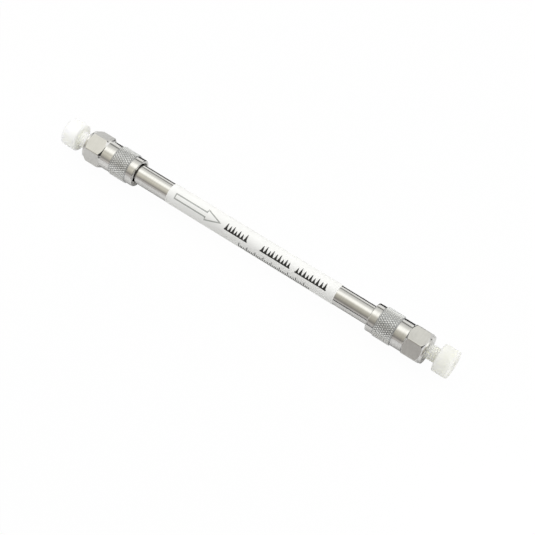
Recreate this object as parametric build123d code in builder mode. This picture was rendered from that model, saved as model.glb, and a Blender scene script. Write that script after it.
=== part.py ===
from build123d import *
import os
from math import asin, cos, degrees, pi, radians, sin, sqrt, tan

# Packed liquid-chromatography column, lying on its side with its axis along X.
# The inlet is at -X and the outlet at +X. Sizes are in millimetres and angles in degrees.
# Each end is drawn once in its own coordinates: distance outward from mid-tube, then radius.

# Column tube and its packing
tube_length = 100.0
tube_radius = 3.175
tube_bore_radius = 1.05
tube_end_chamfer = 0.15
bed_clearance = 0.01

# Film label wrapped round the tube, with a double layer at its seam
label_length = 61.3
label_thickness = 0.1
label_clearance = 0.01
label_overlap = 3.0
label_seam_angle = 250.0

# Sintered frit and the polymer ring that seals it against the tube
frit_radius = 1.6
frit_thickness = 1.2
frit_clearance = 0.01
ring_clearance = 0.02

# End fitting: lengths of its zones, from the port face inward
land_length = 0.85
hex_length = 6.0
collar_length = 3.78
knurl_length = 5.97
end_collar_length = 2.7

# End fitting: outer sizes
hex_sides = 6
hex_flats = 9.5
hex_dome_radius = 6.8
land_radius = 4.6
collar_radius = 4.6
end_collar_bevel_length = 0.5
end_collar_bevel_depth = 0.35
inlet_hex_turn = 15.8
outlet_hex_turn = -4.3

# End fitting: the bore that screws on to the tube
tube_thread_clearance = 0.03
mouth_radius = 3.7
mouth_depth = 1.0
web_thickness = 1.5
distributor_radius = 0.9
distributor_depth = 0.4
passage_radius = 0.2

# Port for a 10-32 capillary fitting
port_depth = 9.5
port_thread_radius = 2.465
port_mouth_chamfer = 0.25
pilot_radius = 0.8
pilot_length = 3.3
seal_cone_length = 1.6
seal_cone_angle = 20.0

# Diamond knurl, rolled into the fitting so that its peaks stand proud of the collars
knurl_tip_radius = 4.94
knurl_depth = 0.31
knurl_pitch = 0.775
knurl_angle = 30.0

# Shipping plug
plug_thread_clearance = 0.05
plug_shoulder_clearance = 0.2
plug_nose_clearance = 0.08
plug_stub_length = 1.4
plug_neck_length = 3.5
plug_head_radius = 4.5
plug_head_length = 5.1
plug_head_bevel = 0.35

# Stations along one end
tube_end = tube_length / 2
seat_end = tube_end + frit_thickness
port_floor = seat_end + web_thickness
port_face = port_floor + port_depth
hex_end = port_face - land_length
hex_start = hex_end - hex_length
knurl_end = hex_start - collar_length
knurl_start = knurl_end - knurl_length
fitting_start = knurl_start - end_collar_length
pilot_end = port_floor + pilot_length
seal_cone_end = pilot_end + seal_cone_length

# Radii worked out from the driving sizes
hex_corner_radius = hex_flats / 2 / cos(pi / hex_sides)
socket_radius = tube_radius + tube_thread_clearance
ring_radius = socket_radius - ring_clearance
seal_cone_radius = pilot_radius + seal_cone_length * tan(radians(seal_cone_angle))
plug_thread_radius = port_thread_radius - plug_thread_clearance


# Drawing plane of one end: its x runs outward along the column, its y is the radius.
def end_plane(side):
    return Plane(origin=(0, 0, 0), x_dir=(side, 0, 0), z_dir=(0, 0, side))


# Plane across the column, with its x along +Y and its y along +Z.
def cross_plane(station):
    return Plane(origin=(station, 0, 0), x_dir=(0, 1, 0), z_dir=(1, 0, 0))


# Point of the knurl's grid. Groove crossings and peaks alternate along both directions.
def knurl_point(row, column, rows, columns, side):
    is_peak = (row + column) % 2 == 1
    radius = knurl_tip_radius if is_peak else knurl_tip_radius - knurl_depth
    angle = 2 * pi * column / columns
    station = knurl_start + knurl_length * row / rows
    return Vector(side * station, radius * cos(angle), radius * sin(angle))


# Solid drum with a diamond-knurled rim. Each grid cell folds along the groove that crosses it,
# so that every peak is a four-sided pyramid between two left-hand and two right-hand grooves.
def knurl_drum(side):
    columns = 2 * round(2 * pi * knurl_tip_radius / knurl_pitch)
    row_length = knurl_pitch / 2 / tan(radians(knurl_angle))
    rows = max(1, round(knurl_length / row_length))
    grid = [
        [knurl_point(row, column, rows, columns, side) for column in range(columns)]
        for row in range(rows + 1)
    ]
    faces = []
    for row in range(rows):
        for column in range(columns):
            after = (column + 1) % columns
            corners = [grid[row][column], grid[row][after], grid[row + 1][after], grid[row + 1][column]]
            if (row + column) % 2 == 1:
                corners = corners[1:] + corners[:1]
            faces.append(Face(Wire.make_polygon([corners[0], corners[1], corners[2]], close=True)))
            faces.append(Face(Wire.make_polygon([corners[0], corners[2], corners[3]], close=True)))
    for ring in (grid[0], grid[-1]):
        faces.append(Face(Wire.make_polygon(ring, close=True)))
    return Solid(Shell(faces))


# Distance from a dome's centre, along the axis, to where the dome has the given radius.
def dome_reach(radius):
    return sqrt(hex_dome_radius**2 - radius**2)


# Hexagonal end fitting, turned and knurled from one bar.
def make_end_fitting(side, hex_turn):
    outer_centre = hex_end - dome_reach(land_radius)
    inner_centre = hex_start + dome_reach(collar_radius)
    corner_angle = degrees(asin(hex_corner_radius / hex_dome_radius))
    land_angle = degrees(asin(land_radius / hex_dome_radius))
    collar_angle = degrees(asin(collar_radius / hex_dome_radius))
    with BuildPart() as fitting:
        # Hexagon, with both ends turned to a shallow dome that rounds its corners off
        with BuildSketch(end_plane(side)):
            with BuildLine():
                outer_dome = CenterArc(
                    (outer_centre, 0), hex_dome_radius, land_angle, corner_angle - land_angle
                )
                inner_dome = CenterArc(
                    (inner_centre, 0), hex_dome_radius, 180 - corner_angle, corner_angle - collar_angle
                )
                Line(outer_dome @ 1, inner_dome @ 0)
                Polyline(
                    inner_dome @ 1,
                    (hex_start, 0),
                    (port_face, 0),
                    (port_face, land_radius),
                    outer_dome @ 0,
                )
            make_face()
        revolve(axis=Axis.X)
        with BuildSketch(cross_plane(side * hex_start)):
            RegularPolygon(hex_flats / 2, hex_sides, major_radius=False, rotation=hex_turn)
        extrude(amount=side * (port_face - hex_start), mode=Mode.INTERSECT)
        # Collars on each side of the knurl, on one turned blank
        with BuildSketch(end_plane(side)):
            with BuildLine():
                Polyline(
                    (fitting_start, 0),
                    (fitting_start, collar_radius - end_collar_bevel_depth),
                    (fitting_start + end_collar_bevel_length, collar_radius),
                    (hex_start, collar_radius),
                    (hex_start, 0),
                    close=True,
                )
            make_face()
        revolve(axis=Axis.X)
        add(knurl_drum(side))
        # Socket for the tube and the frit, with a relief at its mouth
        with BuildSketch(end_plane(side)):
            with BuildLine():
                Polyline(
                    (fitting_start, 0),
                    (fitting_start, mouth_radius),
                    (fitting_start + mouth_depth, mouth_radius),
                    (fitting_start + mouth_depth, socket_radius),
                    (seat_end, socket_radius),
                    (seat_end, distributor_radius),
                    (seat_end + distributor_depth, passage_radius),
                    (port_floor, passage_radius),
                    (port_floor, 0),
                    close=True,
                )
            make_face()
        revolve(axis=Axis.X, mode=Mode.SUBTRACT)
        # Port: pilot, sealing cone and thread
        with BuildSketch(end_plane(side)):
            with BuildLine():
                Polyline(
                    (port_floor, 0),
                    (port_floor, pilot_radius),
                    (pilot_end, pilot_radius),
                    (seal_cone_end, seal_cone_radius),
                    (seal_cone_end, port_thread_radius),
                    (port_face - port_mouth_chamfer, port_thread_radius),
                    (port_face, port_thread_radius + port_mouth_chamfer),
                    (port_face, 0),
                    close=True,
                )
            make_face()
        revolve(axis=Axis.X, mode=Mode.SUBTRACT)
    return fitting.part


# Sintered disc that holds the packing in.
def make_frit(side):
    with BuildPart() as frit:
        with BuildSketch(cross_plane(side * tube_end)):
            Circle(frit_radius)
        extrude(amount=side * frit_thickness)
    return frit.part


# Ring that carries the frit and seals it between the tube's end and the fitting's seat.
def make_frit_ring(side):
    with BuildPart() as ring:
        with BuildSketch(cross_plane(side * tube_end)):
            Circle(ring_radius)
            Circle(frit_radius + frit_clearance, mode=Mode.SUBTRACT)
        extrude(amount=side * frit_thickness)
    return ring.part


# Moulded plug: head, threaded neck, and a nose that follows the port's sealing cone.
def make_plug(side):
    head_start = port_face + plug_neck_length
    head_end = head_start + plug_head_length
    shoulder = seal_cone_end + plug_shoulder_clearance
    nose_radius = seal_cone_radius - plug_nose_clearance
    stub_radius = pilot_radius - plug_nose_clearance
    with BuildPart() as plug:
        with BuildSketch(end_plane(side)):
            with BuildLine():
                Polyline(
                    (pilot_end - plug_stub_length, 0),
                    (pilot_end - plug_stub_length, stub_radius),
                    (pilot_end, stub_radius),
                    (seal_cone_end, nose_radius),
                    (shoulder, nose_radius),
                    (shoulder, plug_thread_radius),
                    (head_start, plug_thread_radius),
                    (head_start, plug_head_radius - plug_head_bevel),
                    (head_start + plug_head_bevel, plug_head_radius),
                    (head_end - plug_head_bevel, plug_head_radius),
                    (head_end, plug_head_radius - plug_head_bevel),
                    (head_end, 0),
                    close=True,
                )
            make_face()
        revolve(axis=Axis.X)
    return plug.part


# Column tube, with a small chamfer round each end
with BuildPart() as column_tube:
    with BuildSketch(cross_plane(-tube_end)):
        Circle(tube_radius)
        Circle(tube_bore_radius, mode=Mode.SUBTRACT)
    extrude(amount=tube_length)
    end_faces = column_tube.faces().filter_by(Axis.X)
    outer_rims = [face.outer_wire().edges()[0] for face in end_faces]
    chamfer(outer_rims, length=tube_end_chamfer)

# Packed bed of silica that fills the bore
with BuildPart() as packed_bed:
    with BuildSketch(cross_plane(-tube_end)):
        Circle(tube_bore_radius - bed_clearance)
    extrude(amount=tube_length)

# Label: one turn of film, and a strip where its end overlaps its start
film_inner_radius = tube_radius + label_clearance
film_outer_radius = film_inner_radius + label_thickness
overlap_angle = 360 * label_overlap / (2 * pi * film_outer_radius)
with BuildPart() as label:
    with BuildSketch(cross_plane(-label_length / 2)):
        Circle(film_outer_radius)
        Circle(film_inner_radius, mode=Mode.SUBTRACT)
    extrude(amount=label_length)
    with BuildSketch(cross_plane(-label_length / 2)):
        with BuildLine():
            lap_radius = film_outer_radius + label_thickness
            inner_arc = CenterArc((0, 0), film_outer_radius, label_seam_angle, overlap_angle)
            outer_arc = CenterArc((0, 0), lap_radius, label_seam_angle, overlap_angle)
            Line(inner_arc @ 0, outer_arc @ 0)
            Line(inner_arc @ 1, outer_arc @ 1)
        make_face()
    extrude(amount=label_length)

parts = {
    "column_tube": column_tube.part,
    "packed_bed": packed_bed.part,
    "label": label.part,
}
for end_name, side, hex_turn in (("inlet", -1, inlet_hex_turn), ("outlet", 1, outlet_hex_turn)):
    parts[end_name + "_end_fitting"] = make_end_fitting(side, hex_turn)
    parts[end_name + "_frit"] = make_frit(side)
    parts[end_name + "_frit_ring"] = make_frit_ring(side)
    parts[end_name + "_plug"] = make_plug(side)

os.makedirs("parts", exist_ok=True)
for name, part in parts.items():
    part.label = name
    export_step(part, "parts/" + name + ".step")
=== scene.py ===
import bmesh
import bpy
from math import atan2, ceil, cos, exp, pi, radians, sin, sqrt
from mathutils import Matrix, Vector


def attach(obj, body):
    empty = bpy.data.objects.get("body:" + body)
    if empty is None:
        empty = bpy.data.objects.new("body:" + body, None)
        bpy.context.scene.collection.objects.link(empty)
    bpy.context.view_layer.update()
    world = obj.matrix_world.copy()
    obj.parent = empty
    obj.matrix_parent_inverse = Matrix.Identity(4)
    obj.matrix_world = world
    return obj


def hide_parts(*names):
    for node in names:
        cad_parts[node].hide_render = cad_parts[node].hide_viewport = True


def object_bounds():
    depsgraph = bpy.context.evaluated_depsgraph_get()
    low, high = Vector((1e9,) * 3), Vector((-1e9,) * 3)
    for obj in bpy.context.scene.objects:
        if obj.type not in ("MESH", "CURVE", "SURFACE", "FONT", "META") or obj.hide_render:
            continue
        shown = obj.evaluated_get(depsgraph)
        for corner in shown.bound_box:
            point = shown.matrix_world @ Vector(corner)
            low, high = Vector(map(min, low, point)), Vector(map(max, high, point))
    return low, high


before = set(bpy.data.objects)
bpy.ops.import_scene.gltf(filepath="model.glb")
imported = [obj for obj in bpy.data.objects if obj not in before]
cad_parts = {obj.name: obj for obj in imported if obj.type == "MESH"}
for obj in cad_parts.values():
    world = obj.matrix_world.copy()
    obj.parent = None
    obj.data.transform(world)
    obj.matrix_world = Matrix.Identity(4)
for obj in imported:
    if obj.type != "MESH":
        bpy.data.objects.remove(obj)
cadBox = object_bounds()
scene = bpy.context.scene
mm = 0.001  # the frame is in metres, the pieces' sizes below are in millimetres
metre = 1000  # in millimetres, for the scale of each pattern
sharpFrom = 32  # degrees: a steeper edge stays sharp
support = 1.5  # cuts from a rounded corner to the points that hold its sides flat
print("frame loaded:", len(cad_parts), "nodes")


def toLinear(hexColour):
    channels = [int(hexColour[i:i + 2], 16) / 255 for i in (1, 3, 5)]
    return [c / 12.92 if c <= 0.04045 else ((c + 0.055) / 1.055) ** 2.4 for c in channels] + [1.0]


def addNode(tree, kind, settings=None, links=None):
    node = tree.nodes.new(kind)
    for key, value in (settings or {}).items():
        if key == "ramp":  # list of (position, colour or grey level)
            for place, colour in value[1:-1]:
                node.color_ramp.elements.new(place)
            for element, (place, colour) in zip(node.color_ramp.elements, value):
                element.position = place
                element.color = toLinear(colour) if isinstance(colour, str) else [colour] * 3 + [1.0]
        elif isinstance(key, int) or key in node.inputs:
            node.inputs[key].default_value = value
        else:
            setattr(node, key, value)
    for key, source in (links or {}).items():
        tree.links.new(source, node.inputs[key])
    return node


def newMaterial(name):
    material = bpy.data.materials.new(name)
    material.use_nodes = True
    material.node_tree.nodes.clear()
    return material, material.node_tree


def addPiece(name, shape, materials, body, replaced=()):
    bmesh.ops.recalc_face_normals(shape, faces=shape.faces)
    mesh = bpy.data.meshes.new(name)
    shape.to_mesh(mesh)
    shape.free()
    for material in materials:
        mesh.materials.append(material)
    mesh.polygons.foreach_set("use_smooth", [True] * len(mesh.polygons))
    mesh.set_sharp_from_angle(angle=radians(sharpFrom))
    piece = bpy.data.objects.new(name, mesh)
    scene.collection.objects.link(piece)
    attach(piece, body)
    if replaced:
        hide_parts(*replaced)
    print("piece", name, "with", len(mesh.polygons), "faces")


# Rounds each (station, radius, cut) corner that has a cut, with a support point on either side of it
def soften(corners, steps=4):
    points = []
    for i, (station, radius, cut) in enumerate(corners):
        here = Vector((station, radius))
        if not cut:
            points.append(here)
            continue
        before = Vector(corners[i - 1][:2]) - here
        after = Vector(corners[(i + 1) % len(corners)][:2]) - here
        before.normalize()
        after.normalize()
        points.append(here + before * cut * support)
        for k in range(steps + 1):
            t = k / steps
            points.append(here + before * cut * (1 - t) ** 2 + after * cut * t ** 2)
        points.append(here + after * cut * support)
    return [(p.x, p.y) for p in points]


# Revolves sections round the column's axis. Each section lists (station, radius, angle) in the same order.
# Where splits gives 1 or 2 for a face, it is cut in two along its first or second diagonal
def revolveSections(sections, side, isLoop, finishes=None, splits=None):
    shape = bmesh.new()
    rings = [[shape.verts.new((side * s * mm, r * cos(a) * mm, r * sin(a) * mm)) for s, r, a in section]
             for section in sections]
    count = len(sections[0])
    for i, ring in enumerate(rings):
        other = rings[(i + 1) % len(rings)]
        for k in range(count if isLoop else count - 1):
            m = (k + 1) % count
            near, far, farOther, nearOther = ring[k], ring[m], other[m], other[k]
            split = splits(i, k) if splits else 0
            if split == 1:
                faces = [(near, far, farOther), (near, farOther, nearOther)]
            elif split == 2:
                faces = [(near, far, nearOther), (far, farOther, nearOther)]
            else:
                faces = [(near, far, farOther, nearOther)]
            for corners in faces:
                shape.faces.new(corners).material_index = finishes[k] if finishes else 0
    bmesh.ops.remove_doubles(shape, verts=shape.verts, dist=0.0001 * mm)
    return shape


# Radius of a rounded helical thread. A negative depth cuts into a rod, a positive one into a bore
def threadRadius(station, angle, side, crest, depth, pitch, start, end):
    fade = min(1, max(0, (station - start) / pitch), max(0, (end - station) / pitch))
    wave = 0.5 - 0.5 * cos(2 * pi * side * station / pitch - angle)
    return crest + depth * fade * wave ** 0.7  # the power makes the grooves wider than the crests


def stationsBetween(start, end, step):
    count = max(1, ceil(abs(end - start) / step))
    return [start + (end - start) * i / count for i in range(count + 1)]


def makeSteel(s):
    material, tree = newMaterial(s["name"])
    place = addNode(tree, "ShaderNodeTexCoord")
    lines = addNode(tree, "ShaderNodeMapping", {"Scale": [metre / size for size in s["grain"]]},
                    {"Vector": place.outputs["Object"]})
    grain = addNode(tree, "ShaderNodeTexNoise", {"Scale": 1.0, "Detail": 4.0, "Roughness": 0.6},
                    {"Vector": lines.outputs[0]})
    cloud = addNode(tree, "ShaderNodeTexNoise", {"Scale": metre / s["cloud"], "Detail": 3.0},
                    {"Vector": place.outputs["Object"]})
    half = addNode(tree, "ShaderNodeMath", {"operation": "MULTIPLY", 1: 0.5}, {0: cloud.outputs["Fac"]})
    both = addNode(tree, "ShaderNodeMath", {"operation": "MULTIPLY_ADD", 1: 0.5},
                   {0: grain.outputs["Fac"], 2: half.outputs[0]})
    colour = addNode(tree, "ShaderNodeValToRGB", {"ramp": [(0.35, s["dark"]), (0.65, s["light"])]},
                     {"Fac": both.outputs[0]})
    tone = colour.outputs[0]
    if s.get("grooves"):  # painted shade: darkens the colour with depth below the crests
        root, crest, deepest = s["grooves"]
        across = addNode(tree, "ShaderNodeVectorMath", {"operation": "MULTIPLY", 1: (0, 1, 1)},
                         {0: place.outputs["Object"]})
        radius = addNode(tree, "ShaderNodeVectorMath", {"operation": "LENGTH"}, {0: across.outputs[0]})
        level = addNode(tree, "ShaderNodeMapRange",
                        {"From Min": root * mm, "From Max": crest * mm, "To Min": deepest},
                        {"Value": radius.outputs["Value"]})
        darker = addNode(tree, "ShaderNodeVectorMath", {"operation": "SCALE"},
                         {0: tone, "Scale": level.outputs[0]})
        tone = darker.outputs[0]
    low, high = s["roughness"]
    rough = addNode(tree, "ShaderNodeMapRange",
                    {"From Min": 0.3, "From Max": 0.7, "To Min": low, "To Max": high},
                    {"Value": both.outputs[0]})
    bump = addNode(tree, "ShaderNodeBump", {"Strength": s["bump"], "Distance": s["bumpDepth"] * mm},
                   {"Height": grain.outputs["Fac"]})
    around = addNode(tree, "ShaderNodeTangent", {"direction_type": "RADIAL", "axis": "X"})
    shader = addNode(tree, "ShaderNodeBsdfPrincipled", {"Metallic": 1.0, "Anisotropic": s["anisotropy"]},
                     {"Base Color": tone, "Roughness": rough.outputs[0], "Normal": bump.outputs[0],
                      "Tangent": around.outputs[0]})
    addNode(tree, "ShaderNodeOutputMaterial", None, {"Surface": shader.outputs[0]})
    return material


def makeSolid(s):
    material, tree = newMaterial(s["name"])
    place = addNode(tree, "ShaderNodeTexCoord")
    cloud = addNode(tree, "ShaderNodeTexNoise", {"Scale": metre / s["cloud"], "Detail": 4.0},
                    {"Vector": place.outputs["Object"]})
    if s.get("grains"):
        fine = addNode(tree, "ShaderNodeTexVoronoi", {"Scale": metre / s["texture"]},
                       {"Vector": place.outputs["Object"]})
        height = fine.outputs["Distance"]
    else:
        fine = addNode(tree, "ShaderNodeTexNoise", {"Scale": metre / s["texture"], "Detail": 3.0},
                       {"Vector": place.outputs["Object"]})
        height = fine.outputs["Fac"]
    colour = addNode(tree, "ShaderNodeValToRGB", {"ramp": [(0.3, s["dark"]), (0.7, s["light"])]},
                     {"Fac": cloud.outputs["Fac"]})
    low, high = s["roughness"]
    rough = addNode(tree, "ShaderNodeMapRange",
                    {"From Min": 0.3, "From Max": 0.7, "To Min": low, "To Max": high},
                    {"Value": cloud.outputs["Fac"]})
    bump = addNode(tree, "ShaderNodeBump", {"Strength": s["bump"], "Distance": s["bumpDepth"] * mm},
                   {"Height": height})
    shader = addNode(tree, "ShaderNodeBsdfPrincipled",
                     {"Metallic": s.get("metallic", 0.0), **s.get("shader", {})},
                     {"Base Color": colour.outputs[0], "Roughness": rough.outputs[0],
                      "Normal": bump.outputs[0]})
    addNode(tree, "ShaderNodeOutputMaterial", None, {"Surface": shader.outputs[0]})
    return material


# Grain, cloud, texture and bump depth are sizes in millimetres

# Drawn tube, ground and polished: a clear sheen with faint lines round the tube
groundSteel = makeSteel({
    "name": "ground stainless steel", "light": "#D7D6D4", "dark": "#CBCAC8",
    "grain": (0.3, 6.0, 6.0), "cloud": 7.0,  # lines 0.02 mm apart, drawn at 0.3 mm so that they show
    "roughness": (0.08, 0.13), "bump": 0.08, "bumpDepth": 0.004, "anisotropy": 0.4,
})
# Bar turned in a lathe: fine rings that streak each highlight
turnedSteel = makeSteel({
    "name": "turned stainless steel", "light": "#D8D7D5", "dark": "#C8C7C5",
    "grain": (0.35, 7.0, 7.0), "cloud": 5.0,  # rings 0.05 mm apart, drawn at 0.35 mm so that they show
    "roughness": (0.06, 0.11), "bump": 0.15, "bumpDepth": 0.004, "anisotropy": 0.4,
})
# Flats milled across the bar: flatter and duller than the turned zones
milledSteel = makeSteel({
    "name": "milled stainless steel", "light": "#CDCCC9", "dark": "#C0BFBC",
    "grain": (0.4, 3.0, 3.0), "cloud": 3.0,  # cutter marks 0.1 mm apart, drawn at 0.4 mm so that they show
    "roughness": (0.26, 0.36), "bump": 0.25, "bumpDepth": 0.008, "anisotropy": 0.2,
})
# Knurl rolled into the bar: burnished crests that sparkle over grooves darkened by painted shade
rolledSteel = makeSteel({
    "name": "rolled stainless steel", "light": "#ECEDEE", "dark": "#DADBDC",
    "grain": (0.5, 0.5, 0.5), "cloud": 1.5,
    "roughness": (0.36, 0.46), "bump": 0.1, "bumpDepth": 0.01, "anisotropy": 0.0,
    "grooves": (4.65, 4.84, 0.66),  # root and crest radius of the painted shade, and the share of light it leaves at the root
})
# Polypropylene film: white and smooth, with a satin face
whiteFilm = makeSolid({
    "name": "extruded polypropylene film", "light": "#F6F6F3", "dark": "#F2F2EF",
    "cloud": 8.0, "texture": 0.6, "roughness": (0.52, 0.62), "bump": 0.06, "bumpDepth": 0.01,
    "shader": {"IOR": 1.49},
})
# Screen printed ink: a thin, dense and nearly matt coat, slightly uneven in tone
inkSettings = {
    "cloud": 1.5, "texture": 0.3, "roughness": (0.4, 0.55), "bump": 0.1, "bumpDepth": 0.004,
    "shader": {"IOR": 1.5},
}
blackInk = makeSolid(dict(inkSettings, name="screen printed black ink", light="#232323", dark="#151515"))
greyInk = makeSolid(dict(inkSettings, name="screen printed grey ink", light="#ACAEAA", dark="#9EA09C"))
# Moulded polyethylene: milky and waxy, with light carried inside it. The outlet's plug has a darker copy of
# it, which is painted shade
polyethyleneSettings = {
    "cloud": 4.0, "texture": 0.9, "roughness": (0.5, 0.62), "bump": 0.12, "bumpDepth": 0.02,
    "shader": {"IOR": 1.51, "Subsurface Weight": 1.0, "Subsurface Radius": (1.0, 1.0, 0.95),
               "Subsurface Scale": 0.003},
}
whitePolyethylene = makeSolid(dict(
    polyethyleneSettings, name="moulded white polyethylene", light="#FAFAF5", dark="#F4F4EE"))
shadedPolyethylene = makeSolid(dict(
    polyethyleneSettings, name="moulded polyethylene with painted shade", light="#EDEDE7", dark="#E7E7E0"))
# Steel beads sintered into a disc: dull grey and grainy
sinteredSteel = makeSolid({
    "name": "sintered stainless steel", "light": "#A8A49C", "dark": "#77736C",
    "metallic": 1.0, "grains": True,
    "cloud": 0.3, "texture": 0.12,  # grains are 0.01 mm, drawn at 0.12 mm so that they show
    "roughness": (0.5, 0.7), "bump": 0.8, "bumpDepth": 0.03,
})
# Silica beads packed wet: chalk white and quite matt
packedSilica = makeSolid({
    "name": "packed silica", "light": "#F3F2EE", "dark": "#E4E2DC", "grains": True,
    "cloud": 0.5, "texture": 0.1,  # beads are 0.002 mm, drawn at 0.1 mm so that they show
    "roughness": (0.85, 0.95), "bump": 0.6, "bumpDepth": 0.02, "shader": {"IOR": 1.46},
})
# Polyether ketone turned from rod: tan and half matt
turnedPolymer = makeSolid({
    "name": "turned polyether ketone", "light": "#C9B48C", "dark": "#B79F76",
    "cloud": 1.0, "texture": 0.2, "roughness": (0.4, 0.5), "bump": 0.2, "bumpDepth": 0.01,
    "shader": {"IOR": 1.65},
})
print("materials made:", len(bpy.data.materials))


# Column tube: plain and polished, with a thread at each end that holds the fitting
tubeSettings = {
    "halfLength": 50.0, "radius": 3.175, "bore": 1.05, "endChamfer": 0.15,
    "threadFrom": 44.6, "threadPitch": 0.8, "threadDepth": 0.3, "stepsPerPitch": 8,
    "threadLead": 0.3,  # plain steel held flat before the thread
    "runOut": 1.0,  # the thread's full depth is kept to the tube's end
    "columns": 192,
}


def makeTube(s):
    end = s["halfLength"]
    stations = stationsBetween(s["threadFrom"], end - s["endChamfer"], s["threadPitch"] / s["stepsPerPitch"])

    def threadedHalf(side, angle):
        points = [(s["threadFrom"] - s["threadLead"], s["radius"])]
        for t in stations + [end]:
            radius = threadRadius(t, angle, side, s["radius"], -s["threadDepth"], s["threadPitch"],
                                  s["threadFrom"], end + s["runOut"])
            points.append((t, radius))
        points[-1] = (end, min(radius, s["radius"] - s["endChamfer"]))
        points.append((end, s["bore"]))
        return [(side * t, r, angle) for t, r in points]

    sections = []
    for i in range(s["columns"]):
        a = 2 * pi * i / s["columns"]
        outside, inside = (0.0, s["radius"], a), (0.0, s["bore"], a)
        sections.append([outside] + threadedHalf(1, a) + [inside] + threadedHalf(-1, a)[::-1])
    shape = revolveSections(sections, 1, True)
    addPiece("polishedTube", shape, [groundSteel], "column", ["column_tube"])


makeTube(tubeSettings)


# End fittings: collar, diamond knurl and hexagon turned from one bar
fittingSettings = {
    "mouth": 42.9, "mouthRadius": 3.7, "mouthDepth": 1.0,
    "mouthLip": 0.6, "mouthEdge": 0.12, "mouthRound": 0.47,
    "knurlStart": 45.6, "knurlEnd": 51.57, "knurlTip": 4.94, "knurlDepth": 0.31,
    "knurlTurns": 80, "knurlRows": 9,
    "knurlRunIn": 3.0,  # rise per millimetre at the knurl's ends
    "tipLand": 0.55,  # share of the full height at which a peak is worn flat
    "relief": 0.06, "reliefWidth": 0.18, "reliefWall": 0.05,  # groove turned at each end of the knurl
    "collar": 4.6, "collarHold": 0.15, "land": 4.6, "landRound": 0.3,
    "hexStart": 55.35, "hexEnd": 61.6, "hexHold": 0.25, "portFace": 62.2,
    "flats": 9.5, "edgeRound": 0.4, "dome": 6.8, "creaseRound": 0.08,
    "creaseLimit": 1.6,  # cuts that fit in the dome's last step, so that its support point stays on it
    "cornerCrowding": 0.35,  # columns stand closer towards the hexagon's corners
    "portRadius": 2.465, "portChamfer": 0.25, "portEdge": 0.05, "portThreadDepth": 0.14, "threadPitch": 0.794,
    "threadInset": 0.35, "threadFade": 0.3, "threadOverrun": 0.1, "stepsPerPitch": 6,
    "coneEnd": 57.6, "coneRadius": 1.382, "pilotEnd": 56.0, "pilot": 0.8, "portFloor": 52.7,
    "passage": 0.2, "flareRadius": 0.9, "flareDepth": 0.4, "seat": 51.2, "socket": 3.205,
    "columns": 480, "perCell": 4,
}
turned, rolled, milled = 0, 1, 2  # places of the finishes in a fitting's list of materials


# Distance from the axis to the hexagon's side, at an angle from the middle of a flat
def hexReach(s, offset):
    half = s["flats"] / 2
    edgeCentre = (half - s["edgeRound"]) / cos(pi / 6)
    if offset <= atan2(edgeCentre * sin(pi / 6), half):
        return half / cos(offset)
    turn = pi / 6 - offset
    return edgeCentre * cos(turn) + sqrt(s["edgeRound"] ** 2 - (edgeCentre * sin(turn)) ** 2)


# Radius of the diamond knurl, from two crossing families of helical grooves
def knurlRadius(s, station, column):
    across = column * s["knurlTurns"] / s["columns"]
    along = (station - s["knurlStart"]) / (s["knurlEnd"] - s["knurlStart"]) * s["knurlRows"]
    heights = [1 - abs((phase % 1) * 2 - 1) for phase in ((across + along) / 2, (across - along) / 2)]
    height = min(min(heights), s["tipLand"]) / s["tipLand"]
    edge = min(station - s["knurlStart"], s["knurlEnd"] - station)
    return min(s["knurlTip"] - s["knurlDepth"] * (1 - height),
               s["collar"] - s["relief"] + s["knurlRunIn"] * edge)


# Dome stations, from a collar's radius up to the hexagon's side or down again
def domePoints(s, centre, sign, fromRadius, toRadius, steps=5):
    points = []
    for k in range(steps + 1):
        r = fromRadius + (toRadius - fromRadius) * k / steps
        points.append((centre + sign * sqrt(s["dome"] ** 2 - r * r), r))
    return points


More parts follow.
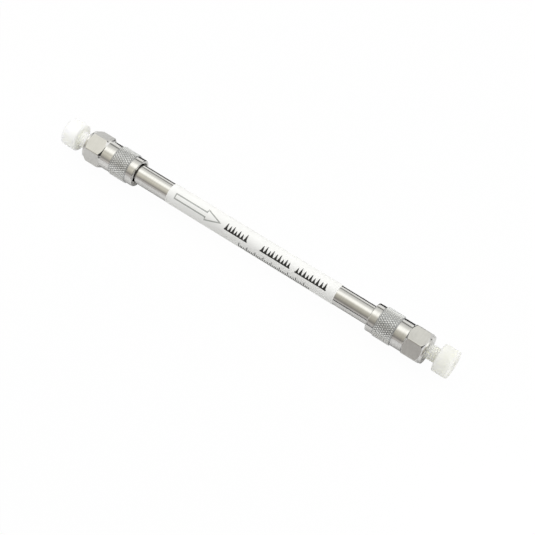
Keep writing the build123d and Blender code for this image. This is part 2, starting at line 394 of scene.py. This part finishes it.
# A lengthwise section of a fitting as (station, radius, angle, finish), and the point where its knurl starts
def fittingSection(s, side, turn, column):
    perFlat = s["columns"] // 6
    plain = radians(turn) + 2 * pi * column / s["columns"]
    across = (column % perFlat) / perFlat * 2 - 1
    crowded = (1 + s["cornerCrowding"]) * across - s["cornerCrowding"] * across ** 3
    middle = radians(turn) + 2 * pi * (column // perFlat + 0.5) / 6
    hexAngle = middle + crowded * pi / 6
    reach = hexReach(s, abs(hexAngle - middle))
    points = []

    def extend(pairs, angle, finish):
        points.extend((t, r, angle, finish) for t, r in pairs)

    # end collar, and the relief groove before the knurl
    rim = soften([(s["mouth"] + s["mouthLip"], s["mouthRadius"], 0),
                  (s["mouth"], s["mouthRadius"], s["mouthEdge"]),
                  (s["mouth"], s["collar"], s["mouthRound"]), (s["knurlStart"], s["collar"], 0)])
    low, width = s["collar"] - s["relief"], s["reliefWidth"]
    extend(rim[:-1], plain, turned)
    extend([(s["knurlStart"] - width - s["collarHold"], s["collar"]), (s["knurlStart"] - width, s["collar"])],
           plain, turned)
    extend([(s["knurlStart"] - width + s["reliefWall"], low)], plain, rolled)

    # knurl, the relief groove after it and the plain collar
    knurlAt = len(points)
    rows = s["knurlRows"] * s["perCell"]
    step = (s["knurlEnd"] - s["knurlStart"]) / rows
    stations = [s["knurlStart"] + step * k for k in range(rows + 1)]
    extend([(t, knurlRadius(s, t, column)) for t in stations], plain, rolled)
    extend([(s["knurlEnd"] + width - s["reliefWall"], low)], plain, rolled)
    extend([(s["knurlEnd"] + width, s["collar"]), (s["knurlEnd"] + width + s["collarHold"], s["collar"]),
            (s["hexStart"] - s["hexHold"], s["collar"])], plain, turned)

    # hexagon between two domes
    innerCentre = s["hexStart"] + sqrt(s["dome"] ** 2 - s["collar"] ** 2)
    outerCentre = s["hexEnd"] - sqrt(s["dome"] ** 2 - s["land"] ** 2)
    rise = domePoints(s, innerCentre, -1, s["collar"], reach)
    fall = domePoints(s, outerCentre, 1, reach, s["land"])
    shortest = min((Vector(p) - Vector(q)).length for p, q in (rise[-2:], fall[:2]))
    cut = min(s["creaseRound"], shortest / s["creaseLimit"])  # the dome is short at the middle of a flat
    crease = soften([(*rise[-2], 0), (*rise[-1], cut), (*fall[0], cut), (*fall[1], 0)])
    flatFrom = len(crease) // 2 - 1
    extend(rise[:-2] + crease[:flatFrom], hexAngle, turned)
    extend(crease[flatFrom:flatFrom + 2], hexAngle, milled)
    extend(crease[flatFrom + 2:] + fall[2:], hexAngle, turned)

    # land, port with its thread and cone, passage, seat and socket
    end = soften([(s["hexEnd"], s["land"], 0), (s["portFace"], s["land"], s["landRound"]),
                  (s["portFace"], s["portRadius"] + s["portChamfer"], s["portEdge"]),
                  (s["portFace"] - s["portChamfer"], s["portRadius"], 0)])
    extend(end[1:], plain, turned)
    depth, pitch = s["portThreadDepth"], s["threadPitch"]
    for t in stationsBetween(s["portFace"] - s["threadInset"], s["coneEnd"] + s["threadOverrun"],
                             pitch / s["stepsPerPitch"]):
        radius = threadRadius(t, plain, side, s["portRadius"], depth, pitch,
                              s["coneEnd"], s["portFace"] - s["threadFade"])
        extend([(t, radius)], plain, turned)
    socketEnd = s["mouth"] + s["mouthDepth"]
    extend([(s["coneEnd"], s["portRadius"]), (s["coneEnd"], s["coneRadius"]), (s["pilotEnd"], s["pilot"]),
            (s["portFloor"], s["pilot"]), (s["portFloor"], s["passage"]),
            (s["seat"] + s["flareDepth"], s["passage"]), (s["seat"], s["flareRadius"]),
            (s["seat"], s["socket"]), (socketEnd, s["socket"]), (socketEnd, s["mouthRadius"])], plain, turned)
    return points, knurlAt


def makeFitting(s, name, side, turn, node):
    full = [fittingSection(s, side, turn, column) for column in range(s["columns"])]
    sections = [[point[:3] for point in points] for points, knurlAt in full]
    points, knurlAt = full[0]
    finishes = [point[3] for point in points]
    knurlTo = knurlAt + s["knurlRows"] * s["perCell"]

    # knurl cells fold along the groove that crosses them
    def splitKnurl(i, k):
        if not knurlAt <= k < knurlTo:
            return 0
        cell = i * s["knurlTurns"] // s["columns"] + (k - knurlAt) // s["perCell"]
        return 1 + cell % 2

    shape = revolveSections(sections, side, True, finishes, splitKnurl)
    addPiece(name, shape, [turnedSteel, rolledSteel, milledSteel], "column", [node])


for end, side, turn in (("inlet", -1, 15.8), ("outlet", 1, -4.3)):  # each hexagon's turn is in degrees
    makeFitting(fittingSettings, end + "Fitting", side, turn, end + "_end_fitting")


# Shipping plugs: a round head on a threaded stem
plugSettings = {
    "stub": 54.6, "stubRadius": 0.72, "pilotEnd": 56.0, "coneEnd": 57.6, "noseRadius": 1.302,
    "shoulder": 57.8, "thread": 2.415, "threadDepth": 0.13, "threadPitch": 0.794, "stepsPerPitch": 10,
    "threadInset": 0.1, "threadLead": 0.6,  # length over which the thread rises from the shoulder
    "threadBefore": 1.0, "threadAfter": 0.2,  # how far the full thread reaches past the shoulder and the head
    "headStart": 65.7, "headEnd": 70.8, "head": 4.5, "innerRound": 0.5, "outerRound": 0.7, "roundSteps": 6,
    "columns": 192,
}


def makePlug(s, name, side, material, body, node):
    root = s["thread"] - s["threadDepth"]
    nose = [(s["stub"], 0.0), (s["stub"], s["stubRadius"]), (s["pilotEnd"], s["stubRadius"]),
            (s["coneEnd"], s["noseRadius"]), (s["shoulder"], s["noseRadius"]), (s["shoulder"], root)]
    head = soften([(s["headStart"], s["thread"], 0), (s["headStart"], s["head"], s["innerRound"]),
                   (s["headEnd"], s["head"], s["outerRound"]), (s["headEnd"], 0.0, 0)], s["roundSteps"])
    stations = stationsBetween(s["shoulder"] + s["threadInset"], s["headStart"] - s["threadInset"],
                               s["threadPitch"] / s["stepsPerPitch"])
    sections = []
    for i in range(s["columns"]):
        a = 2 * pi * i / s["columns"]
        thread = []
        for t in stations:
            lead = min(1.0, (t - s["shoulder"]) / s["threadLead"])
            radius = threadRadius(t, a, side, s["thread"], -s["threadDepth"], s["threadPitch"],
                                  s["shoulder"] - s["threadBefore"], s["headStart"] + s["threadAfter"])
            thread.append((t, root + (radius - root) * lead))
        sections.append([(t, r, a) for t, r in nose + thread + head])
    shape = revolveSections(sections, side, False)
    addPiece(name, shape, [material], body, [node])


# the outlet's plug takes the darker copy with painted shade
for end, side, material in (("inlet", -1, whitePolyethylene), ("outlet", 1, shadedPolyethylene)):
    makePlug(plugSettings, end + "Plug", side, material, end + "_cap", end + "_plug")


# Label: a film wrapped round the tube until it laps over its own start
labelSettings = {
    "halfLength": 30.65, "inner": 3.185, "thickness": 0.1, "edge": 0.02, "edgeSteps": 3,
    "lapFrom": 250.0, "lapTo": 302.3, "lapRamp": 12.0, "lapStep": 0.15,  # degrees
    "inkHeight": 0.012, "columns": 240,
}


def lapHeight(s, angle):
    if not s["lapFrom"] <= angle <= s["lapTo"]:
        return 0.0
    rise = min(1.0, (s["lapTo"] - angle) / s["lapRamp"])  # the film climbs gently over its own start
    return s["thickness"] * rise * rise * (3 - 2 * rise)


def makeLabel(s):
    angles = {360 * i / s["columns"] for i in range(s["columns"])}
    angles |= {s["lapFrom"] - s["lapStep"], s["lapFrom"]}
    end, inner = s["halfLength"], s["inner"]
    sections = []
    for angle in sorted(angles):
        outer = inner + s["thickness"] + lapHeight(s, angle)
        corners = soften([(-end, inner, 0), (-end, outer, s["edge"]),
                          (end, outer, s["edge"]), (end, inner, 0)], s["edgeSteps"])
        sections.append([(t, r, radians(angle)) for t, r in corners])
    shape = revolveSections(sections, 1, True)
    addPiece("wrappedLabel", shape, [whiteFilm], "column", ["label"])


makeLabel(labelSettings)


# Lays a grid of (station, angle) points on the film as a thin closed skin of ink
def layInk(shape, grid, isLoop=False):
    s = labelSettings
    surface = s["inner"] + s["thickness"]
    layers = []
    for r in (surface - s["inkHeight"], surface + s["inkHeight"]):
        layers.append([[shape.verts.new((x * mm, r * cos(a) * mm, r * sin(a) * mm)) for x, a in row]
                       for row in grid])
    under, over = layers
    count, width = len(grid), len(grid[0])
    for i in range(count if isLoop else count - 1):
        k = (i + 1) % count
        for j in range(width - 1):
            shape.faces.new((over[i][j], over[i][j + 1], over[k][j + 1], over[k][j]))
            shape.faces.new((under[i][j], under[k][j], under[k][j + 1], under[i][j + 1]))
        shape.faces.new((over[i][0], over[k][0], under[k][0], under[i][0]))
        shape.faces.new((over[i][-1], under[i][-1], under[k][-1], over[k][-1]))
    if not isLoop:
        for i in (0, count - 1):
            for j in range(width - 1):
                shape.faces.new((over[i][j], under[i][j], under[i][j + 1], over[i][j + 1]))


# Angle at a distance round the film from a place in degrees
def arcAngle(distance, middle):
    return radians(middle) + distance / (labelSettings["inner"] + labelSettings["thickness"])


# Outlined arrow that shows the flow, from the inlet to the outlet
arrowSettings = {
    "middle": 116.0, "tail": -27.9, "neck": -16.4, "tip": -11.2, "shaft": 0.8, "barb": 1.75,
    "stroke": 0.4, "sharpest": 0.3, "step": 0.25,  # sharpest limits how far a mitre runs out
}


def makeArrow(s):
    corners = [Vector(c) for c in (
        (s["tail"], -s["shaft"]), (s["neck"], -s["shaft"]), (s["neck"], -s["barb"]), (s["tip"], 0.0),
        (s["neck"], s["barb"]), (s["neck"], s["shaft"]), (s["tail"], s["shaft"]))]
    half = s["stroke"] / 2
    mitres = []
    for before, here, after in zip(corners[-1:] + corners, corners, corners[1:] + corners[:1]):
        inward, outward = (here - before).normalized(), (after - here).normalized()
        mitre = Vector((-inward.y - outward.y, inward.x + outward.x))
        mitres.append(mitre * half / max(s["sharpest"], mitre.dot(Vector((-inward.y, inward.x)))))
    path = []
    for i, here in enumerate(corners):
        k = (i + 1) % len(corners)
        run = corners[k] - here
        way = run.normalized()
        across = Vector((-way.y, way.x)) * half
        nearest, farthest = abs(mitres[i].dot(way)), run.length - abs(mitres[k].dot(way))
        path.append((here, mitres[i]))
        for along in stationsBetween(0, run.length, s["step"])[1:-1]:
            if nearest < along < farthest:  # clear of the mitres
                path.append((here + way * along, across))
    grid = [[(p.x, arcAngle(p.y, s["middle"])) for p in (point - across, point + across)]
            for point, across in path]
    shape = bmesh.new()
    layInk(shape, grid, True)
    addPiece("flowArrow", shape, [greyInk], "column")


makeArrow(arrowSettings)

# Drawn traces of a separation: each peak is (station, share of the height, width)
traceSettings = {
    "base": 132.5, "line": 0.3, "height": 2.5, "step": 0.06, "rows": 12,
    "traces": [
        {"from": -9.3, "to": -0.9, "peaks": [
            (-8.7, 0.95, 0.22), (-7.4, 0.8, 0.2), (-6.3, 1.0, 0.22), (-5.2, 0.6, 0.2), (-4.1, 0.9, 0.22),
            (-2.9, 0.7, 0.2), (-1.6, 1.0, 0.22)]},
        {"from": 3.8, "to": 14.6, "peaks": [
            (4.5, 0.85, 0.22), (5.7, 1.0, 0.22), (7.0, 0.65, 0.2), (8.0, 0.95, 0.22), (9.4, 0.8, 0.22),
            (10.6, 1.0, 0.22), (11.8, 0.6, 0.2), (12.9, 0.9, 0.22), (14.0, 0.7, 0.2)]},
        {"from": 16.4, "to": 27.6, "peaks": [
            (17.1, 0.75, 0.2), (18.3, 1.0, 0.22), (19.6, 0.85, 0.22), (20.8, 0.6, 0.2), (21.9, 0.95, 0.22),
            (23.1, 0.7, 0.2), (24.3, 1.0, 0.22), (25.7, 0.8, 0.22), (26.9, 0.95, 0.22)]},
    ],
}


def makeTraces(s):
    shape = bmesh.new()
    for trace in s["traces"]:
        grid = []
        for x in stationsBetween(trace["from"], trace["to"], s["step"]):
            rise = max(share * exp(-0.5 * ((x - at) / width) ** 2) for at, share, width in trace["peaks"])
            top = s["line"] + rise * (s["height"] - s["line"])
            grid.append([(x, arcAngle(-top * j / s["rows"], s["base"])) for j in range(s["rows"] + 1)])
        layInk(shape, grid)
    addPiece("separationTrace", shape, [blackInk], "column")


makeTraces(traceSettings)

# Fine scale under the traces
scaleSettings = {
    "base": 185.0, "from": -3.2, "to": 22.5, "line": 0.2, "lineStep": 1.0,
    "pitch": 0.6, "tick": 0.26, "short": 1.0, "long": 1.75, "every": 5, "tickGap": 0.01, "tickStep": 0.3,
}


def makeScale(s):
    shape = bmesh.new()
    base = s["base"]
    layInk(shape, [[(x, arcAngle(0, base)), (x, arcAngle(-s["line"], base))]
                   for x in stationsBetween(s["from"], s["to"], s["lineStep"])])
    count = round((s["to"] - s["from"]) / s["pitch"])
    for i in range(count + 1):
        x = s["from"] + (s["to"] - s["from"] - s["tick"]) * i / count
        top = s["short"] if i % s["every"] else s["long"]
        heights = stationsBetween(s["line"] + s["tickGap"], top, s["tickStep"])
        layInk(shape, [[(t, arcAngle(-h, base)) for h in heights] for t in (x, x + s["tick"])])
    addPiece("fineScale", shape, [blackInk], "column")


makeScale(scaleSettings)


# Inner pieces keep the frame's own shape
innerFinishes = {
    "packed_bed": packedSilica, "inlet_frit": sinteredSteel, "outlet_frit": sinteredSteel,
    "inlet_frit_ring": turnedPolymer, "outlet_frit_ring": turnedPolymer,
}
for node, material in innerFinishes.items():
    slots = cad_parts[node].data.materials
    slots.clear()
    slots.append(material)
print("inner pieces dressed")


# Stage: floor, light tent, cards, lamps and world, with sizes in metres
stageSettings = {
    "floorSize": 3.0, "boardColours": ("#EBEBEA", "#EEEEED"), "boardCloud": 6.0, "whiteSeen": 0.975,
    "worldLevel": 0.44, "worldColour": (1.0, 1.0, 1.0, 1.0),
    "lampAngle": 69.0, "lampDistance": 0.62, "lampSize": (2.0, 0.72), "lampPower": 5.9,
    "kickers": [  # small lamps that fill the shaded side of each plug: place, aim, side and power
        ((-0.115, -0.06, 0.03), (-0.069, 0, 0), 0.05, 0.008),
        ((-0.05, -0.02, 0.03), (-0.09, 0, 0), 0.02, 0.0013),
        ((0.108, -0.04, 0.018), (0.069, 0, 0), 0.03, 0.0065),
    ],
}
floorHeight = cadBox[0][2]


# Gives a share of the rays of the named kinds, which see plain white in place of the lit surface
def seenShare(tree, share, kinds):
    path = addNode(tree, "ShaderNodeLightPath")
    total = path.outputs[kinds[0]]
    for kind in kinds[1:]:
        added = addNode(tree, "ShaderNodeMath", {"operation": "ADD"}, {0: total, 1: path.outputs[kind]})
        total = added.outputs[0]
    seen = addNode(tree, "ShaderNodeMath", {"operation": "MULTIPLY", 1: share, "use_clamp": True}, {0: total})
    return seen.outputs[0]


def addStagePiece(name, corners, faces, material):
    mesh = bpy.data.meshes.new(name)
    mesh.from_pydata(corners, [], faces)
    mesh.materials.append(material)
    piece = bpy.data.objects.new(name, mesh)
    scene.collection.objects.link(piece)
    return piece


def makeFloor(s):
    material, tree = newMaterial("matt white board")
    place = addNode(tree, "ShaderNodeTexCoord")
    cloud = addNode(tree, "ShaderNodeTexNoise", {"Scale": s["boardCloud"]},
                    {"Vector": place.outputs["Object"]})
    dark, light = s["boardColours"]
    colour = addNode(tree, "ShaderNodeValToRGB", {"ramp": [(0.3, dark), (0.7, light)]},
                     {"Fac": cloud.outputs["Fac"]})
    board = addNode(tree, "ShaderNodeBsdfDiffuse", None, {"Color": colour.outputs[0]})
    white = addNode(tree, "ShaderNodeEmission", {"Color": (1, 1, 1, 1), "Strength": 1.0})
    seen = seenShare(tree, s["whiteSeen"], ("Is Camera Ray", "Is Transmission Ray"))
    both = addNode(tree, "ShaderNodeMixShader", None, {0: seen, 1: board.outputs[0], 2: white.outputs[0]})
    addNode(tree, "ShaderNodeOutputMaterial", None, {"Surface": both.outputs[0]})
    half = s["floorSize"] / 2
    corners = [(x, y, floorHeight) for x, y in ((-half, -half), (half, -half), (half, half), (-half, half))]
    addStagePiece("floor", corners, [(0, 1, 2, 3)], material)


# A tent of cloth that only the metal mirrors. Its colour follows the angle round the column, 90 being upwards
tentSettings = {
    "from": 0, "to": 180, "step": 2, "radius": 0.6, "ends": (-1.2, 1.2), "level": 1.6,
    "glow": [
        (0, "#D2D2D0"), (8, "#E4E4E1"), (17, "#C4C4C1"), (23, "#A0A09C"), (26, "#5C5C5C"), (30, "#5C5C5C"),
        (33, "#B0B0AC"), (41, "#C4C4C1"), (48, "#C8C8C4"), (55, "#CECECA"), (61, "#DADAD5"), (67, "#EBEBE6"),
        (73, "#F8F8F3"), (84, "#FEFEF9"), (91, "#FCFBF5"), (97, "#ECEBE4"), (102, "#D8D7CE"),
        (108, "#C0BEB6"), (114, "#B5B2A8"), (125, "#ADABA1"), (137, "#9E9B91"), (146, "#908D86"),
        (155, "#7F7C77"), (161, "#7C7A77"), (167, "#A19E9A"), (174, "#ABA7A4"), (180, "#9C9A98"),
    ],
    # share of light added on the near side towards the inlet, the stations over which it fades and its arc
    "lift": 0.31, "liftStations": (-0.23, -0.18), "liftArc": [(106, 0.0), (122, 1.0), (150, 1.0), (164, 0.2)],
}
# Dark flag bent round the column
arcSettings = {
    "name": "cameraFlag", "from": 98, "to": 130, "step": 2,
    "radius": 0.42, "ends": (0.06, 0.18), "level": 0.06,
}
# Flat cards that only the metal mirrors. An upright card has (y, z) corners at one station x, and a lying one
# has (x, y) corners just above the floor
cardSettings = [
    {"name": "sideFlag", "x": 0.5, "level": 0.04, "corners": [
        (-0.45, 0.0), (-0.36, 0.0), (-0.2, 0.07), (-0.1, 0.105), (0.13, 0.12), (0.13, 0.3), (-0.16, 0.33),
        (-0.34, 0.24), (-0.45, 0.12)]},
    {"name": "endFlag", "x": -0.6, "level": 0.3, "corners": [
        (-0.12, 0.0), (0.42, 0.0), (0.42, 0.24), (-0.12, 0.24)]},
    {"name": "endCard", "x": 0.5, "level": 1.3, "corners": [
        (0.25, 0.0), (0.9, 0.0), (0.9, 0.45), (0.25, 0.45)]},
    {"name": "edgeFlag", "rise": 0.0001, "level": 0.03, "corners": [
        (-0.0605, 0.013), (0.056, 0.013), (0.056, 0.055), (-0.074, 0.055)]},
    {"name": "frontFlag", "rise": 0.0001, "level": 0.15, "corners": [
        (-0.0285, -0.028), (0.0435, -0.028), (0.0055, -0.16), (-0.067, -0.16)]},
]


def onlyInGloss(piece):
    piece.visible_camera = piece.visible_diffuse = piece.visible_transmission = False
    piece.visible_shadow = piece.visible_volume_scatter = False


def makeArc(name, s, material):
    corners, faces = [], []
    for i, angle in enumerate(stationsBetween(s["from"], s["to"], s["step"])):
        a = radians(angle)
        corners += [(x, s["radius"] * cos(a), s["radius"] * sin(a)) for x in s["ends"]]
        if i:
            faces.append((2 * i - 2, 2 * i - 1, 2 * i + 1, 2 * i))
    onlyInGloss(addStagePiece(name, corners, faces, material))


def makeTent(s):
    material, tree = newMaterial("tent cloth")
    place = addNode(tree, "ShaderNodeTexCoord")
    axes = addNode(tree, "ShaderNodeSeparateXYZ", None, {0: place.outputs["Object"]})
    turn = addNode(tree, "ShaderNodeMath", {"operation": "ARCTAN2"},
                   {0: axes.outputs["Z"], 1: axes.outputs["Y"]})
    share = addNode(tree, "ShaderNodeMath", {"operation": "DIVIDE", 1: pi}, {0: turn.outputs[0]})
    glow = addNode(tree, "ShaderNodeValToRGB",
                   {"ramp": [(angle / 180, colour) for angle, colour in s["glow"]]},
                   {"Fac": share.outputs[0]})
    fullAt, noneAt = s["liftStations"]
    fade = addNode(tree, "ShaderNodeMapRange",
                   {"From Min": fullAt, "From Max": noneAt, "To Min": 1.0, "To Max": 0.0},
                   {"Value": axes.outputs["X"]})
    arc = addNode(tree, "ShaderNodeValToRGB",
                  {"ramp": [(angle / 180, value) for angle, value in s["liftArc"]]},
                  {"Fac": share.outputs[0]})
    added = addNode(tree, "ShaderNodeMath", {"operation": "MULTIPLY"},
                    {0: fade.outputs[0], 1: arc.outputs[0]})
    level = addNode(tree, "ShaderNodeMath",
                    {"operation": "MULTIPLY_ADD", 1: s["lift"] * s["level"], 2: s["level"]},
                    {0: added.outputs[0]})
    light = addNode(tree, "ShaderNodeEmission", None,
                    {"Color": glow.outputs[0], "Strength": level.outputs[0]})
    addNode(tree, "ShaderNodeOutputMaterial", None, {"Surface": light.outputs[0]})
    makeArc("lightTent", s, material)


def cardMaterial(s):
    material, tree = newMaterial(s["name"])
    glow = addNode(tree, "ShaderNodeEmission", {"Strength": s["level"]})
    addNode(tree, "ShaderNodeOutputMaterial", None, {"Surface": glow.outputs[0]})
    return material


def makeCard(s):
    if "x" in s:
        corners = [(s["x"], y, z) for y, z in s["corners"]]
    else:
        corners = [(x, y, floorHeight + s["rise"]) for x, y in s["corners"]]
    onlyInGloss(addStagePiece(s["name"], corners, [tuple(range(len(corners)))], cardMaterial(s)))


def addLamp(name, size, power, place):
    data = bpy.data.lights.new(name, "AREA")
    data.shape = "RECTANGLE"
    data.size, data.size_y = size
    data.energy = power
    lamp = bpy.data.objects.new(name, data)
    scene.collection.objects.link(lamp)
    lamp.location = place
    lamp.visible_glossy = False  # the tent and cards stand for it in reflections
    return lamp


def makeLamps(s):
    a = radians(s["lampAngle"])
    above = addLamp("softBox", s["lampSize"], s["lampPower"], Vector((0, cos(a), sin(a))) * s["lampDistance"])
    above.rotation_euler = (a - pi / 2, 0, 0)
    for place, aim, size, power in s["kickers"]:
        kicker = addLamp("kicker", (size, size), power, place)
        kicker.rotation_euler = (Vector(place) - Vector(aim)).to_track_quat("Z", "Y").to_euler()


def makeWorld(s):
    world = bpy.data.worlds.new("studio")
    scene.world = world
    world.use_nodes = True
    tree = world.node_tree
    tree.nodes.clear()
    seen = seenShare(tree, 1.0, ("Is Camera Ray", "Is Transmission Ray", "Is Glossy Ray"))
    level = addNode(tree, "ShaderNodeMath",
                    {"operation": "MULTIPLY_ADD", 1: 1 - s["worldLevel"], 2: s["worldLevel"]}, {0: seen})
    sky = addNode(tree, "ShaderNodeBackground", {"Color": s["worldColour"]}, {"Strength": level.outputs[0]})
    addNode(tree, "ShaderNodeOutputWorld", None, {"Surface": sky.outputs[0]})


makeFloor(stageSettings)
makeTent(tentSettings)
for settings in cardSettings:
    makeCard(settings)
makeArc(arcSettings["name"], arcSettings, cardMaterial(arcSettings))
makeLamps(stageSettings)
makeWorld(stageSettings)
print("stage set")


cameraSettings = {
    "azimuth": 34.99, "elevation": 61.68,  # degrees
    "distance": 0.44, "nearest": 0.01,  # metres
    "focalPixels": 1459.75, "imagePixels": 535.0, "originAt": (253.17, 243.07), "sensor": 36.0,
}


def addCamera(s):
    data = bpy.data.cameras.new("studioCamera")
    camera = bpy.data.objects.new("studioCamera", data)
    scene.collection.objects.link(camera)
    data.sensor_width = s["sensor"]
    data.lens = s["focalPixels"] / s["imagePixels"] * data.sensor_width
    data.clip_start = s["nearest"]
    az, el = radians(s["azimuth"]), radians(s["elevation"])
    toCamera = Vector((sin(az) * cos(el), -cos(az) * cos(el), sin(el)))
    right = Vector((cos(az), sin(az), 0))
    up = toCamera.cross(right)
    middle = s["imagePixels"] / 2
    perPixel = s["distance"] / s["focalPixels"]
    aside = (middle - s["originAt"][0]) * perPixel
    above = (s["originAt"][1] - middle) * perPixel
    camera.location = toCamera * s["distance"] + right * aside + up * above
    camera.rotation_euler = toCamera.to_track_quat("Z", "Y").to_euler()
    scene.camera = camera


addCamera(cameraSettings)
scene.view_settings.view_transform = "Standard"
print("camera placed")
